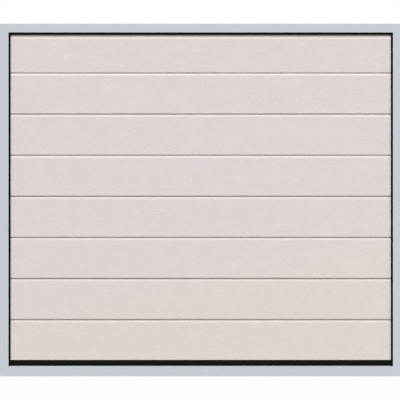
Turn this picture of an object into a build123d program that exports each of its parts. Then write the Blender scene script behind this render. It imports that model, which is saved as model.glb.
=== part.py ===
from build123d import *
import os

# Sectional garage door, closed, in its steel frame. Millimetres.
# +X is to the right seen from outside, +Y runs into the garage, +Z is up.
# The origin is the middle of the header's front face, which lies against the wall.

# Opening
CLEAR_WIDTH = 2440
CLEAR_HEIGHT = 2125
HEADER_FACE = 56
SILL_FACE = 65
JAMB_FACE = 72
SHEET = 2
SEAL_GAP = 16
SIDE_SEAL = 13
SEAL_DEPTH = 4
SIDE_LEAN = 1
TOP_LEAN = 3
TONGUE = 14

# Leaf
SECTION_COUNT = 4
BAND_PITCH = 263.8
FIRST_GROOVE = 297.6
BOTTOM_SEAL_HEIGHT = 39.5
LEAF_FRONT = 10
LEAF_BACK = 54
LEAF_HALF_WIDTH = 1234
LEAF_TOP = 2143
GROOVE_DEPTH = 9
GROOVE_HALF = 5
BEVEL_HEIGHT = 11
LIP_BACK = 13
TONGUE_BACK = 44
TONGUE_TOP = 14
SOCKET_BACK = 49
SOCKET_TOP = 19
TONGUE_CHAMFER = (3, 4)
BACK_LIP_GAP = 1
BACK_LINES = (132, 44, -44, -132)
BACK_LINE_DEPTH = 1.5
BACK_LINE_HALF = 4
BACK_LINE_FLOOR = 2.5
TOP_STEP = 2.5
TOP_BEVEL = (2100.5, 2106.5)

# Running gear
PIVOT_Y = 68
STEM_RADIUS = 5
ROLLER_RADIUS = 21
ROLLER_WIDTH = 12
ROLLER_X = 1264
TRACK_X = 1256
TRACK_DEPTH = 30
TRACK_WIDTH = 56
TRACK_SLOT = 24
BEND_RADIUS = 235
BEND_START = 1866
UPPER_TRACK_HEIGHT = 2163
TOP_ROLLER_Y = 116
TRACK_END_Y = 2500
CORNER_FOOT = 1800
UPPER_TRACK_START_Y = 84
BOTTOM_ROLLER_HEIGHT = 92
HINGE_CENTRES = (-610, 0, 610)

# Lifting gear
PULLEY_GROOVE = 22
PULLEY_RIM = 25
CABLE_X = 1246
CABLE_RADIUS = 1.5
CABLE_PIN_HEIGHT = 60
SHAFT_Y = 2597
SHAFT_HEIGHT = 2135
SHAFT_RADIUS = 12.7
SHAFT_OVERHANG = 11
DRUM_RADIUS = 48.5
SPRING_RADIUS = 33.5
SPRING_WIRE = 6

# Outer sizes that follow
CLEAR_HALF = CLEAR_WIDTH / 2
FLANGE_START = CLEAR_HALF + SIDE_SEAL
FRAME_HALF = FLANGE_START + JAMB_FACE
JAMB_DEPTH = 110
HEADER_START = CLEAR_HEIGHT + SEAL_GAP
HEADER_TOP = HEADER_START + HEADER_FACE
ORIGIN_HEIGHT = HEADER_START + HEADER_FACE / 2
TRACK_HALF = TRACK_WIDTH / 2
LOWER_TRACK_HEIGHT = BEND_START + BEND_RADIUS

os.makedirs("parts", exist_ok=True)


def up(height):
    """The frame's Z of a height above the sill's top."""
    return height - ORIGIN_HEIGHT


def joint_line(number):
    """Height of the joint between section number and the one above it."""
    return FIRST_GROOVE + BAND_PITCH * (2 * number - 1)


def box(x, y, z, mode=Mode.ADD):
    """Add a block that spans the three ranges, heights above the sill."""
    low_x, high_x = sorted(x)
    middle = ((low_x + high_x) / 2, (y[0] + y[1]) / 2, up((z[0] + z[1]) / 2))
    with Locations(middle):
        Box(high_x - low_x, y[1] - y[0], z[1] - z[0], mode=mode)


def bar(outline_points, x):
    """Add a bar along X whose outline is given as Y and height above the sill."""
    low_x, high_x = sorted(x)
    with BuildSketch(Plane.YZ.offset(low_x)) as outline:
        with BuildLine():
            Polyline(*[(y, up(z)) for y, z in outline_points], close=True)
        make_face()
    extrude(outline.sketch, amount=high_x - low_x)


def post(outline_points, z):
    """Add an upright bar whose outline is given as X and Y, between two heights."""
    with BuildSketch(Plane.XY.offset(up(z[0]))) as outline:
        with BuildLine():
            Polyline(*outline_points, close=True)
        make_face()
    extrude(outline.sketch, amount=z[1] - z[0])


def both(side, x):
    """A range along X on the right, or its mirror image on the left."""
    return (side * x[0], side * x[1])


def rod(y, z, radius, x, mode=Mode.ADD):
    """Add a round bar along X round the axis at y and height z."""
    low_x, high_x = sorted(x)
    with BuildSketch(Plane.YZ.offset(low_x)) as outline:
        with Locations((y, up(z))):
            Circle(radius)
    extrude(outline.sketch, amount=high_x - low_x, mode=mode)


def save(piece, name):
    """Label a finished piece and write it as a STEP file."""
    piece.part.label = name
    export_step(piece.part, f"parts/{name}.step")


# Frame: two jambs, a header and a sill of folded galvanised sheet, with a bar behind the leaf's foot
JAMB_WEB = FRAME_HALF - SHEET
JAMB_RETURN = 30
RETURN_GAP = 10
HEADER_DEPTH = 38
SILL_DEPTH = 60
SILL_WALL = 3
WEATHER_BAR = 7


def make_jamb(name, side):
    """Face, web and rear return of one jamb; the return stops below the corner plate."""
    with BuildPart() as jamb:
        box(both(side, (FLANGE_START, FRAME_HALF)), (0, SHEET), (-SILL_FACE, HEADER_START))
        box(both(side, (JAMB_WEB, FRAME_HALF)), (SHEET, JAMB_DEPTH), (-SILL_FACE, HEADER_TOP - SHEET))
        return_x = both(side, (FRAME_HALF - JAMB_RETURN, FRAME_HALF))
        box(return_x, (JAMB_DEPTH - SHEET, JAMB_DEPTH), (-SILL_FACE, CORNER_FOOT - RETURN_GAP))
    save(jamb, name)


make_jamb("jamb_left", -1)
make_jamb("jamb_right", 1)

with BuildPart() as header:
    box((-FRAME_HALF, FRAME_HALF), (0, SHEET), (HEADER_START, HEADER_TOP))
    box((-FRAME_HALF, FRAME_HALF), (SHEET, HEADER_DEPTH), (HEADER_TOP - SHEET, HEADER_TOP))
save(header, "header")

with BuildPart() as sill:
    box((-FLANGE_START, FLANGE_START), (0, SILL_DEPTH), (-SILL_FACE, 0))
    hollow_depth = (SILL_WALL, SILL_DEPTH - SILL_WALL)
    box((-FLANGE_START, FLANGE_START), hollow_depth, (-SILL_FACE, -SILL_WALL), mode=Mode.SUBTRACT)
    box((-FLANGE_START, FLANGE_START), (SILL_DEPTH - SHEET, SILL_DEPTH), (0, WEATHER_BAR))
save(sill, "sill")


# Rubber seals: a lip in the opening that leans back to the leaf, and a tongue behind the frame's face
def seal_outline(edge, root, tongue_end, lean):
    """Lip's edge, root and tongue, as places across the seal with their Y."""
    return [
        (edge, lean),
        (root, 0),
        (root, SHEET),
        (tongue_end, SHEET),
        (tongue_end, SEAL_DEPTH),
        (root, SEAL_DEPTH),
        (edge, SEAL_DEPTH + lean),
    ]


with BuildPart() as side_seals:
    post(seal_outline(CLEAR_HALF, FLANGE_START, FLANGE_START + TONGUE, SIDE_LEAN), (0, CLEAR_HEIGHT))
    mirror(about=Plane.YZ)
save(side_seals, "side_seals")

with BuildPart() as top_seal:
    across_seal = seal_outline(CLEAR_HEIGHT, HEADER_START, HEADER_START + TONGUE, TOP_LEAN)
    bar([(y, height) for height, y in across_seal], (-FLANGE_START, FLANGE_START))
save(top_seal, "top_seal")


# Leaf: foam-filled sheet steel sections, each with a rib across its middle
def groove_points(height):
    """Front of a rib or joint from just below its bevel up to its undercut."""
    bevel_foot = height - GROOVE_HALF - BEVEL_HEIGHT
    inner = LEAF_FRONT + GROOVE_DEPTH
    return [(LEAF_FRONT, bevel_foot), (inner, height - GROOVE_HALF)]


def back_line_points(height):
    """Shallow rolled line across the back skin, from its top edge to its bottom edge."""
    floor = LEAF_BACK - BACK_LINE_DEPTH
    return [
        (LEAF_BACK, height + BACK_LINE_HALF),
        (floor, height + BACK_LINE_FLOOR),
        (floor, height - BACK_LINE_FLOOR),
        (LEAF_BACK, height - BACK_LINE_HALF),
    ]


def section_outline(number):
    """Outline of one section, from its rib up the front, over the top and down the back."""
    inner = LEAF_FRONT + GROOVE_DEPTH
    rib = FIRST_GROOVE + 2 * BAND_PITCH * (number - 1)
    points = groove_points(rib)
    points += [(inner, rib + GROOVE_HALF), (LEAF_FRONT, rib + GROOVE_HALF)]
    if number < SECTION_COUNT:
        top = joint_line(number)
        points += groove_points(top)
        chamfer_depth, chamfer_height = TONGUE_CHAMFER
        points += [(inner, top + TONGUE_TOP - chamfer_height), (inner + chamfer_depth, top + TONGUE_TOP)]
        points += [(TONGUE_BACK, top + TONGUE_TOP), (TONGUE_BACK, top - GROOVE_HALF)]
        points += [(LEAF_BACK, top - GROOVE_HALF)]
    else:
        step = LEAF_FRONT + TOP_STEP
        points += [(LEAF_FRONT, TOP_BEVEL[0]), (step, TOP_BEVEL[1])]
        points += [(step, LEAF_TOP), (LEAF_BACK, LEAF_TOP)]
    for offset in BACK_LINES:
        points += back_line_points(rib + offset)
    if number > 1:
        foot = joint_line(number - 1)
        points += [(LEAF_BACK, foot + BACK_LIP_GAP), (SOCKET_BACK, foot + BACK_LIP_GAP)]
        points += [(SOCKET_BACK, foot + SOCKET_TOP), (LIP_BACK, foot + SOCKET_TOP)]
        points += [(LIP_BACK, foot + GROOVE_HALF), (LEAF_FRONT, foot + GROOVE_HALF)]
    else:
        points += [(LEAF_BACK, BOTTOM_SEAL_HEIGHT), (LEAF_FRONT, BOTTOM_SEAL_HEIGHT)]
    return points


LEAF_SPAN = (-LEAF_HALF_WIDTH, LEAF_HALF_WIDTH)

# End caps: folded steel over each section's two ends, which the hinges' screws bite into
CAP_SHEET = 2
CAP_FLANGE = 60
CAP_FRONT = 21
CAP_BACK = LEAF_BACK + 1.5
CAP_FOOT_GAP = 2
CAP_HEAD_GAP = 5


def section_span(number):
    """Lowest and highest height of a section's end caps."""
    low = joint_line(number - 1) + CAP_FOOT_GAP if number > 1 else BOTTOM_SEAL_HEIGHT
    high = joint_line(number) - CAP_HEAD_GAP if number < SECTION_COUNT else LEAF_TOP
    return low, high


for number in range(1, SECTION_COUNT + 1):
    with BuildPart() as section:
        bar(section_outline(number), LEAF_SPAN)
    save(section, f"section_{number}")
    low, high = section_span(number)
    cap_outer = LEAF_HALF_WIDTH + CAP_SHEET
    with BuildPart() as end_caps:
        box((LEAF_HALF_WIDTH, cap_outer), (CAP_FRONT, CAP_BACK), (low, high))
        box((cap_outer - CAP_FLANGE, LEAF_HALF_WIDTH), (LEAF_BACK, CAP_BACK), (low, high))
        mirror(about=Plane.YZ)
    save(end_caps, f"end_caps_{number}")


# Bottom rail: an aluminium carrier under the lowest section, slotted from below
SEAL_MIDDLE = 32
RAIL_HALF_DEPTH = 17
RAIL_FOOT = 29
SLOT_HALF_DEPTH = 10
SLOT_TOP = 34
with BuildPart() as bottom_rail:
    rail_depth = (SEAL_MIDDLE - RAIL_HALF_DEPTH, SEAL_MIDDLE + RAIL_HALF_DEPTH)
    slot_depth = (SEAL_MIDDLE - SLOT_HALF_DEPTH, SEAL_MIDDLE + SLOT_HALF_DEPTH)
    box(LEAF_SPAN, rail_depth, (RAIL_FOOT, BOTTOM_SEAL_HEIGHT))
    box(LEAF_SPAN, slot_depth, (RAIL_FOOT, SLOT_TOP), mode=Mode.SUBTRACT)
save(bottom_rail, "bottom_rail")

# Its rubber hooks into the slot, covers the rail's front and back, and ends in a hollow bulb
SEAL_FOOT = 5
SEAL_TOP = BOTTOM_SEAL_HEIGHT - 0.5
SEAL_HALF_DEPTH = 21
SEAL_SHOULDER = 10.5
FOOT_HALF_DEPTH = 14
HOLLOW_HALF_DEPTH = 13
HOLLOW_TOP = 23
half_seal = [
    (SLOT_HALF_DEPTH, SLOT_TOP),
    (SLOT_HALF_DEPTH, RAIL_FOOT),
    (RAIL_HALF_DEPTH, RAIL_FOOT),
    (RAIL_HALF_DEPTH, SEAL_TOP),
    (SEAL_HALF_DEPTH, SEAL_TOP),
    (SEAL_HALF_DEPTH, SEAL_SHOULDER),
    (FOOT_HALF_DEPTH, SEAL_FOOT),
]
with BuildPart() as bottom_seal:
    back_half = [(SEAL_MIDDLE + depth, height) for depth, height in half_seal]
    front_half = [(SEAL_MIDDLE - depth, height) for depth, height in reversed(half_seal)]
    bar(back_half + front_half, LEAF_SPAN)
    hollow = (SEAL_MIDDLE - HOLLOW_HALF_DEPTH, SEAL_MIDDLE + HOLLOW_HALF_DEPTH)
    box(LEAF_SPAN, hollow, (SEAL_SHOULDER, HOLLOW_TOP), mode=Mode.SUBTRACT)
save(bottom_seal, "bottom_seal")

# Hinges: sheet steel leaves on the backs of two sections, with knuckles round one axis
CENTRE_HINGE = 70
SIDE_HINGE_X = (1180, 1232)
PLATE_SHEET = 2.5
PLATE_NEAR = 22
PLATE_FAR = 75
KNUCKLE_RADIUS = 8
KNUCKLE_HALF = 11
SIDE_KNUCKLE = 14
KNUCKLE_GAP = 1
ARM_THICKNESS = 6
ARM_REAR = 2
TUBE_RADIUS = 9
TUBE_LINER = 2
PIN_RADIUS = 4
PIN_HALF = 38
RUNNING_GAP = 0.3


def hinge_plate(line, direction, x, back):
    """Flat leaf of a hinge above or below its axis, on the section's back."""
    near = line + direction * PLATE_NEAR
    far = line + direction * PLATE_FAR
    box(x, (back, back + PLATE_SHEET), (min(near, far), max(near, far)))


def hinge_arm(line, direction, x, back, radius):
    """Arm from a leaf to its knuckle, and the knuckle itself."""
    points = [
        (back, line + direction * (PLATE_NEAR + ARM_THICKNESS)),
        (back, line + direction * PLATE_NEAR),
        (PIVOT_Y - ARM_THICKNESS, line + direction * (ARM_THICKNESS - 1)),
        (PIVOT_Y + ARM_REAR, line + direction * (radius - 0.5)),
        (back + PLATE_SHEET, line + direction * (PLATE_NEAR + ARM_THICKNESS)),
    ]
    bar(points, x)
    rod(PIVOT_Y, line, radius, x)


def centre_knuckles(direction):
    """Ranges along X, from the hinge's middle, of one leaf's knuckles."""
    half = CENTRE_HINGE / 2
    outer = KNUCKLE_HALF + KNUCKLE_GAP
    return [(-KNUCKLE_HALF, KNUCKLE_HALF)] if direction > 0 else [(-half, -outer), (outer, half)]


def centre_leaf(middle, line, direction):
    """Leaf of a centre hinge, with its knuckles."""
    half = CENTRE_HINGE / 2
    hinge_plate(line, direction, (middle - half, middle + half), LEAF_BACK)
    for start, end in centre_knuckles(direction):
        hinge_arm(line, direction, (middle + start, middle + end), LEAF_BACK, KNUCKLE_RADIUS)


def side_knuckles(direction):
    """Ranges along X of the knuckles of a side hinge."""
    start, end = SIDE_HINGE_X
    if direction > 0:
        return [(start + SIDE_KNUCKLE + KNUCKLE_GAP, end - SIDE_KNUCKLE - KNUCKLE_GAP)]
    return [(start, start + SIDE_KNUCKLE), (end - SIDE_KNUCKLE, end)]


def side_leaf(line, direction, side):
    """Leaf of the side hinge on the left or right, with its knuckles."""
    hinge_plate(line, direction, both(side, SIDE_HINGE_X), CAP_BACK)
    for knuckle in side_knuckles(direction):
        hinge_arm(line, direction, both(side, knuckle), CAP_BACK, TUBE_RADIUS)


def bore(line, radius, x):
    """Take the axis out of knuckles that turn on it."""
    rod(PIVOT_Y, line, radius, x, mode=Mode.SUBTRACT)


def centre_pin(middle, line):
    """Pin through the knuckles of a centre hinge."""
    rod(PIVOT_Y, line, PIN_RADIUS, (middle - PIN_HALF, middle + PIN_HALF))


for number in (1, 2):
    line = joint_line(number)
    with BuildPart() as hinges:
        for middle in HINGE_CENTRES:
            centre_leaf(middle, line, 1)
            centre_leaf(middle, line, -1)
            centre_pin(middle, line)
        for side in (-1, 1):
            side_leaf(line, 1, side)
            side_leaf(line, -1, side)
            rod(PIVOT_Y, line, STEM_RADIUS + TUBE_LINER, both(side, SIDE_HINGE_X))
            bore(line, STEM_RADIUS, both(side, SIDE_HINGE_X))
    save(hinges, f"hinges_{number}_{number + 1}")

LEAN_LINE = joint_line(3)
with BuildPart() as lower_hinge_leaves:
    for middle in HINGE_CENTRES:
        centre_leaf(middle, LEAN_LINE, -1)
        centre_pin(middle, LEAN_LINE)
    for side in (-1, 1):
        side_leaf(LEAN_LINE, -1, side)
        bore(LEAN_LINE, STEM_RADIUS, both(side, SIDE_HINGE_X))
save(lower_hinge_leaves, "lower_hinge_leaves")

with BuildPart() as upper_hinge_leaves:
    for middle in HINGE_CENTRES:
        centre_leaf(middle, LEAN_LINE, 1)
        bore(LEAN_LINE, PIN_RADIUS + RUNNING_GAP, (middle - KNUCKLE_HALF, middle + KNUCKLE_HALF))
    for side in (-1, 1):
        side_leaf(LEAN_LINE, 1, side)
        bore(LEAN_LINE, STEM_RADIUS + RUNNING_GAP, both(side, SIDE_HINGE_X))
save(upper_hinge_leaves, "upper_hinge_leaves")


# Rollers: nylon wheels on steel stems
STEM_X = (SIDE_HINGE_X[0] - 4, ROLLER_X + ROLLER_WIDTH + 2)


def roller(y, height):
    """Right roller with its stem, running in the track."""
    rod(y, height, STEM_RADIUS, STEM_X)
    rod(y, height, ROLLER_RADIUS, (ROLLER_X, ROLLER_X + ROLLER_WIDTH))


with BuildPart() as rollers:
    for number in range(1, SECTION_COUNT):
        roller(PIVOT_Y, joint_line(number))
    roller(PIVOT_Y, BOTTOM_ROLLER_HEIGHT)
    mirror(about=Plane.YZ)
save(rollers, "rollers")

with BuildPart() as top_rollers:
    roller(TOP_ROLLER_Y, UPPER_TRACK_HEIGHT)
    mirror(about=Plane.YZ)
save(top_rollers, "top_rollers")

# Bottom brackets: a corner plate with a roller tube and the pin that holds the cable
BRACKET_SHEET = 3
PLATE_BACK = (CAP_BACK, CAP_BACK + BRACKET_SHEET)
FOOT_PLATE = (40, 150)
FOOT_CHEEK = (40, 110)
CHEEK_FRONT = 30
WEB_HALF = 6
CABLE_Y = PIVOT_Y - PULLEY_GROOVE
CABLE_PIN_RADIUS = 4
with BuildPart() as bottom_brackets:
    cheek_inner = LEAF_HALF_WIDTH + CAP_SHEET
    cheek_outer = cheek_inner + BRACKET_SHEET
    web_height = (BOTTOM_ROLLER_HEIGHT - WEB_HALF, BOTTOM_ROLLER_HEIGHT + WEB_HALF)
    box(SIDE_HINGE_X, PLATE_BACK, FOOT_PLATE)
    box(SIDE_HINGE_X, (PLATE_BACK[1], PIVOT_Y), web_height)
    rod(PIVOT_Y, BOTTOM_ROLLER_HEIGHT, TUBE_RADIUS, SIDE_HINGE_X)
    bore(BOTTOM_ROLLER_HEIGHT, STEM_RADIUS, SIDE_HINGE_X)
    box((cheek_inner, cheek_outer), (CHEEK_FRONT, PLATE_BACK[1]), FOOT_CHEEK)
    box((SIDE_HINGE_X[1], cheek_outer), PLATE_BACK, FOOT_CHEEK)
    rod(CABLE_Y, CABLE_PIN_HEIGHT, CABLE_PIN_RADIUS, (cheek_outer, CABLE_X + CABLE_PIN_RADIUS))
    mirror(about=Plane.YZ)
save(bottom_brackets, "bottom_brackets")

# Top brackets: an angle on the top section that reaches back to the upper track's roller
ARM_X = (1186, 1190)
HEAD_PLATE = (1990, 2135)
ARM_FOOT = 2040
with BuildPart() as top_brackets:
    box(SIDE_HINGE_X, PLATE_BACK, HEAD_PLATE)
    arm = [
        (PLATE_BACK[1], HEAD_PLATE[1]),
        (PLATE_BACK[1], ARM_FOOT),
        (TOP_ROLLER_Y - 12, UPPER_TRACK_HEIGHT - 16),
        (TOP_ROLLER_Y + 4, UPPER_TRACK_HEIGHT - 8),
        (TOP_ROLLER_Y, UPPER_TRACK_HEIGHT + 8),
        (TOP_ROLLER_Y - 8, UPPER_TRACK_HEIGHT + 8),
    ]
    bar(arm, ARM_X)
    rod(TOP_ROLLER_Y, UPPER_TRACK_HEIGHT, TUBE_RADIUS, (ARM_X[0], SIDE_HINGE_X[1]))
    rod(TOP_ROLLER_Y, UPPER_TRACK_HEIGHT, STEM_RADIUS, (ARM_X[0], SIDE_HINGE_X[1]), mode=Mode.SUBTRACT)
    mirror(about=Plane.YZ)
save(top_brackets, "top_brackets")


# Tracks: a rolled channel whose slot faces the leaf, in four pieces a side
def track_rectangles():
    """Parts of the channel's section, as ranges across the track and along X."""
    half = TRACK_HALF
    web = TRACK_X + TRACK_DEPTH
    slot = TRACK_SLOT / 2
    return [
        ((-half, half), (web - SHEET, web)),
        ((-half, -half + SHEET), (TRACK_X, web - SHEET)),
        ((half - SHEET, half), (TRACK_X, web - SHEET)),
        ((-half + SHEET, -slot), (TRACK_X, TRACK_X + SHEET)),
        ((slot, half - SHEET), (TRACK_X, TRACK_X + SHEET)),
    ]


def upright_track(side, low, high):
    """Straight channel standing up round the rollers' line."""
    for across, x in track_rectangles():
        box(both(side, x), (PIVOT_Y + across[0], PIVOT_Y + across[1]), (low, high))


def level_track(side, height, y):
    """Straight channel lying along Y at a height."""
    for across, x in track_rectangles():
        box(both(side, x), y, (height + across[0], height + across[1]))


def bent_track(side):
    """Quarter bend from the upright channel to the lower level one."""
    with BuildSketch(Plane.XY.offset(up(BEND_START))) as channel:
        for across, x in track_rectangles():
            middle = (side * (x[0] + x[1]) / 2, PIVOT_Y + (across[0] + across[1]) / 2)
            with Locations(middle):
                Rectangle(x[1] - x[0], across[1] - across[0])
    bend_axis = Axis((0, PIVOT_Y + BEND_RADIUS, up(BEND_START)), (1, 0, 0))
    revolve(channel.sketch, axis=bend_axis, revolution_arc=-90)


for side_name, side in (("left", -1), ("right", 1)):
    with BuildPart() as vertical_track:
        upright_track(side, 0, BEND_START)
    save(vertical_track, f"vertical_track_{side_name}")
    with BuildPart() as curved_track:
        bent_track(side)
    save(curved_track, f"curved_track_{side_name}")
    with BuildPart() as lower_track:
        level_track(side, LOWER_TRACK_HEIGHT, (PIVOT_Y + BEND_RADIUS, TRACK_END_Y))
    save(lower_track, f"lower_track_{side_name}")
    with BuildPart() as upper_track:
        level_track(side, UPPER_TRACK_HEIGHT, (UPPER_TRACK_START_Y, TRACK_END_Y))
    save(upper_track, f"upper_track_{side_name}")

# Track brackets: channels between the upright tracks and the jambs' webs
TRACK_WEB = TRACK_X + TRACK_DEPTH
BRACKET_HEIGHTS = (300, 1000, 1700)
BRACKET_HALF = 30
BRACKET_FRONT = 45
BRACKET_REAR = 88
with BuildPart() as track_brackets:
    for middle in BRACKET_HEIGHTS:
        span = (middle - BRACKET_HALF, middle + BRACKET_HALF)
        flange_y = (BRACKET_FRONT + BRACKET_SHEET, BRACKET_REAR)
        box((TRACK_WEB, TRACK_WEB + BRACKET_SHEET), flange_y, span)
        box((JAMB_WEB - BRACKET_SHEET, JAMB_WEB), flange_y, span)
        box((TRACK_WEB, JAMB_WEB), (BRACKET_FRONT, BRACKET_FRONT + BRACKET_SHEET), span)
    mirror(about=Plane.YZ)
save(track_brackets, "track_brackets")

# Corner plates: carry both level tracks and the head pulley's axle
AXLE_RADIUS = 6
AXLE_STEP = CABLE_X + 9
JOURNAL_RADIUS = 4
JOURNAL_END = CABLE_X - 6
PLATE_TOP = HEADER_TOP - SHEET
CORNER_TOE = 140
CORNER_REACH = 420
CORNER_HEEL = 2060
with BuildPart() as corner_plates:
    corner = [
        (SHEET, CORNER_FOOT),
        (CORNER_TOE, CORNER_FOOT),
        (CORNER_REACH, CORNER_HEEL),
        (CORNER_REACH, PLATE_TOP),
        (SHEET, PLATE_TOP),
    ]
    bar(corner, (TRACK_WEB, TRACK_WEB + BRACKET_SHEET))
    box((TRACK_WEB + BRACKET_SHEET, JAMB_WEB), (SHEET, 2 * SHEET), (CORNER_FOOT, PLATE_TOP))
    rod(PIVOT_Y, UPPER_TRACK_HEIGHT, AXLE_RADIUS, (AXLE_STEP, TRACK_WEB))
    rod(PIVOT_Y, UPPER_TRACK_HEIGHT, JOURNAL_RADIUS, (JOURNAL_END, AXLE_STEP))
    mirror(about=Plane.YZ)
save(corner_plates, "corner_plates")

# Head pulleys: grooved wheels that turn the cables back along the upper tracks
PULLEY_HALF = 5
GROOVE_WIDTH_HALF = 3
with BuildPart() as head_pulleys:
    wheel_x = (CABLE_X - PULLEY_HALF, CABLE_X + PULLEY_HALF)
    rod(PIVOT_Y, UPPER_TRACK_HEIGHT, PULLEY_GROOVE - CABLE_RADIUS, wheel_x)
    rod(PIVOT_Y, UPPER_TRACK_HEIGHT, PULLEY_RIM, (wheel_x[0], CABLE_X - GROOVE_WIDTH_HALF))
    rod(PIVOT_Y, UPPER_TRACK_HEIGHT, PULLEY_RIM, (CABLE_X + GROOVE_WIDTH_HALF, wheel_x[1]))
    rod(PIVOT_Y, UPPER_TRACK_HEIGHT, JOURNAL_RADIUS + RUNNING_GAP, wheel_x, mode=Mode.SUBTRACT)
    mirror(about=Plane.YZ)
save(head_pulleys, "head_pulleys")

# Rear end: plates, cross rail and hangers that hold the tracks and the spring shaft
REAR_PLATE = 4
PLATE_Y = (2380, SHAFT_Y + 55)
PLATE_FOOT = 2080
HUB_RADIUS = 24
BEARING_LENGTH = 16
with BuildPart() as bearing_plates:
    bearing_x = (TRACK_WEB - BEARING_LENGTH, TRACK_WEB)
    box((TRACK_WEB, TRACK_WEB + REAR_PLATE), PLATE_Y, (PLATE_FOOT, PLATE_TOP))
    rod(SHAFT_Y, SHAFT_HEIGHT, HUB_RADIUS, bearing_x)
    rod(SHAFT_Y, SHAFT_HEIGHT, SHAFT_RADIUS, (bearing_x[0], TRACK_WEB + REAR_PLATE), mode=Mode.SUBTRACT)
    mirror(about=Plane.YZ)
save(bearing_plates, "bearing_plates")

RAIL_Y = (TRACK_END_Y + 2, TRACK_END_Y + 42)
RAIL_HEIGHT = (2120, 2160)
with BuildPart() as cross_rail:
    box((-TRACK_WEB, TRACK_WEB), RAIL_Y, RAIL_HEIGHT)
    hollow_y = (RAIL_Y[0] + SHEET, RAIL_Y[1])
    hollow_height = (RAIL_HEIGHT[0] + SHEET, RAIL_HEIGHT[1] - SHEET)
    box((-TRACK_WEB, TRACK_WEB), hollow_y, hollow_height, mode=Mode.SUBTRACT)
save(cross_rail, "cross_rail")

HANGER_Y = (2300, 2360)
HANGER_REACH = 54
HANGER_HOLE = 5.5
HANGER_HOLE_X = 1317
HANGER_SPACING = 30
with BuildPart() as hanger_brackets:
    seat = PLATE_TOP - BRACKET_SHEET
    box((TRACK_WEB, TRACK_WEB + BRACKET_SHEET), HANGER_Y, (PLATE_FOOT, seat))
    box((TRACK_WEB, TRACK_WEB + HANGER_REACH), HANGER_Y, (seat, PLATE_TOP))
    hole_y = (HANGER_Y[0] + HANGER_Y[1]) / 2
    with Locations(Location((HANGER_HOLE_X, hole_y, up(PLATE_TOP)))):
        with GridLocations(0, HANGER_SPACING, 1, 2):
            Hole(HANGER_HOLE, depth=BRACKET_SHEET)
    mirror(about=Plane.YZ)
save(hanger_brackets, "hanger_brackets")

# Shaft and springs: a steel tube that carries two springs, each held by a cone at both ends
with BuildPart() as torsion_shaft:
    shaft_half = TRACK_WEB + REAR_PLATE + SHAFT_OVERHANG
    rod(SHAFT_Y, SHAFT_HEIGHT, SHAFT_RADIUS, (-shaft_half, shaft_half))
save(torsion_shaft, "torsion_shaft")

SPRING_X = (75, 650)
SPRING_BORE = SPRING_RADIUS - SPRING_WIRE
CONE_PLUG = 30
CONE_END_X = 720
with BuildPart() as torsion_springs:
    rod(SHAFT_Y, SHAFT_HEIGHT, SPRING_RADIUS, SPRING_X)
    rod(SHAFT_Y, SHAFT_HEIGHT, SPRING_BORE, SPRING_X, mode=Mode.SUBTRACT)
    mirror(about=Plane.YZ)
save(torsion_springs, "torsion_springs")

with BuildPart() as winding_cones:
    plug_start = SPRING_X[1] - CONE_PLUG
    rod(SHAFT_Y, SHAFT_HEIGHT, SPRING_BORE, (plug_start, SPRING_X[1]))
    rod(SHAFT_Y, SHAFT_HEIGHT, SPRING_RADIUS, (SPRING_X[1], CONE_END_X))
    rod(SHAFT_Y, SHAFT_HEIGHT, SHAFT_RADIUS, (plug_start, CONE_END_X), mode=Mode.SUBTRACT)
    mirror(about=Plane.YZ)
save(winding_cones, "winding_cones")

# Spring bracket: the fixed ends of both springs, held on the middle of the cross rail
GUSSET_HALF = 3
PAD_HALF = 40
PAD_SHEET = 4
with BuildPart() as spring_bracket:
    plug_end = SPRING_X[0] + CONE_PLUG
    rod(SHAFT_Y, SHAFT_HEIGHT, SPRING_BORE, (-plug_end, plug_end))
    rod(SHAFT_Y, SHAFT_HEIGHT, SPRING_RADIUS, (-SPRING_X[0], SPRING_X[0]))
    box((-GUSSET_HALF, GUSSET_HALF), (RAIL_Y[1], SHAFT_Y), RAIL_HEIGHT)
    box((-PAD_HALF, PAD_HALF), (RAIL_Y[1], RAIL_Y[1] + PAD_SHEET), RAIL_HEIGHT)
    rod(SHAFT_Y, SHAFT_HEIGHT, SHAFT_RADIUS, (-plug_end, plug_end), mode=Mode.SUBTRACT)
save(spring_bracket, "spring_bracket")

# Cable drums: a barrel with a flange and a hub on its inner side
DRUM_HALF = 14
DRUM_FLANGE = 4
DRUM_HUB = 30
with BuildPart() as cable_drums:
    barrel_x = (CABLE_X - DRUM_HALF, CABLE_X + DRUM_HALF)
    flange_x = barrel_x[0] - DRUM_FLANGE
    hub_x = flange_x - DRUM_HUB
    rod(SHAFT_Y, SHAFT_HEIGHT, DRUM_RADIUS, barrel_x)
    rod(SHAFT_Y, SHAFT_HEIGHT, DRUM_RADIUS + DRUM_FLANGE, (flange_x, barrel_x[0]))
    rod(SHAFT_Y, SHAFT_HEIGHT, HUB_RADIUS, (hub_x, flange_x))
    rod(SHAFT_Y, SHAFT_HEIGHT, SHAFT_RADIUS, (hub_x, barrel_x[1]), mode=Mode.SUBTRACT)
    mirror(about=Plane.YZ)
save(cable_drums, "cable_drums")

# Lifting cables: up from the bottom brackets, over the pulleys and back to the drums
CABLE_TOP = UPPER_TRACK_HEIGHT + PULLEY_GROOVE
CABLE_FOOT = CABLE_PIN_HEIGHT + CABLE_PIN_RADIUS
with BuildPart() as vertical_cables:
    with BuildSketch(Plane.XY.offset(up(CABLE_FOOT))) as cable_section:
        with Locations((CABLE_X, CABLE_Y)):
            Circle(CABLE_RADIUS)
    extrude(cable_section.sketch, amount=UPPER_TRACK_HEIGHT - CABLE_FOOT)
    mirror(about=Plane.YZ)
save(vertical_cables, "vertical_cables")

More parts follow.
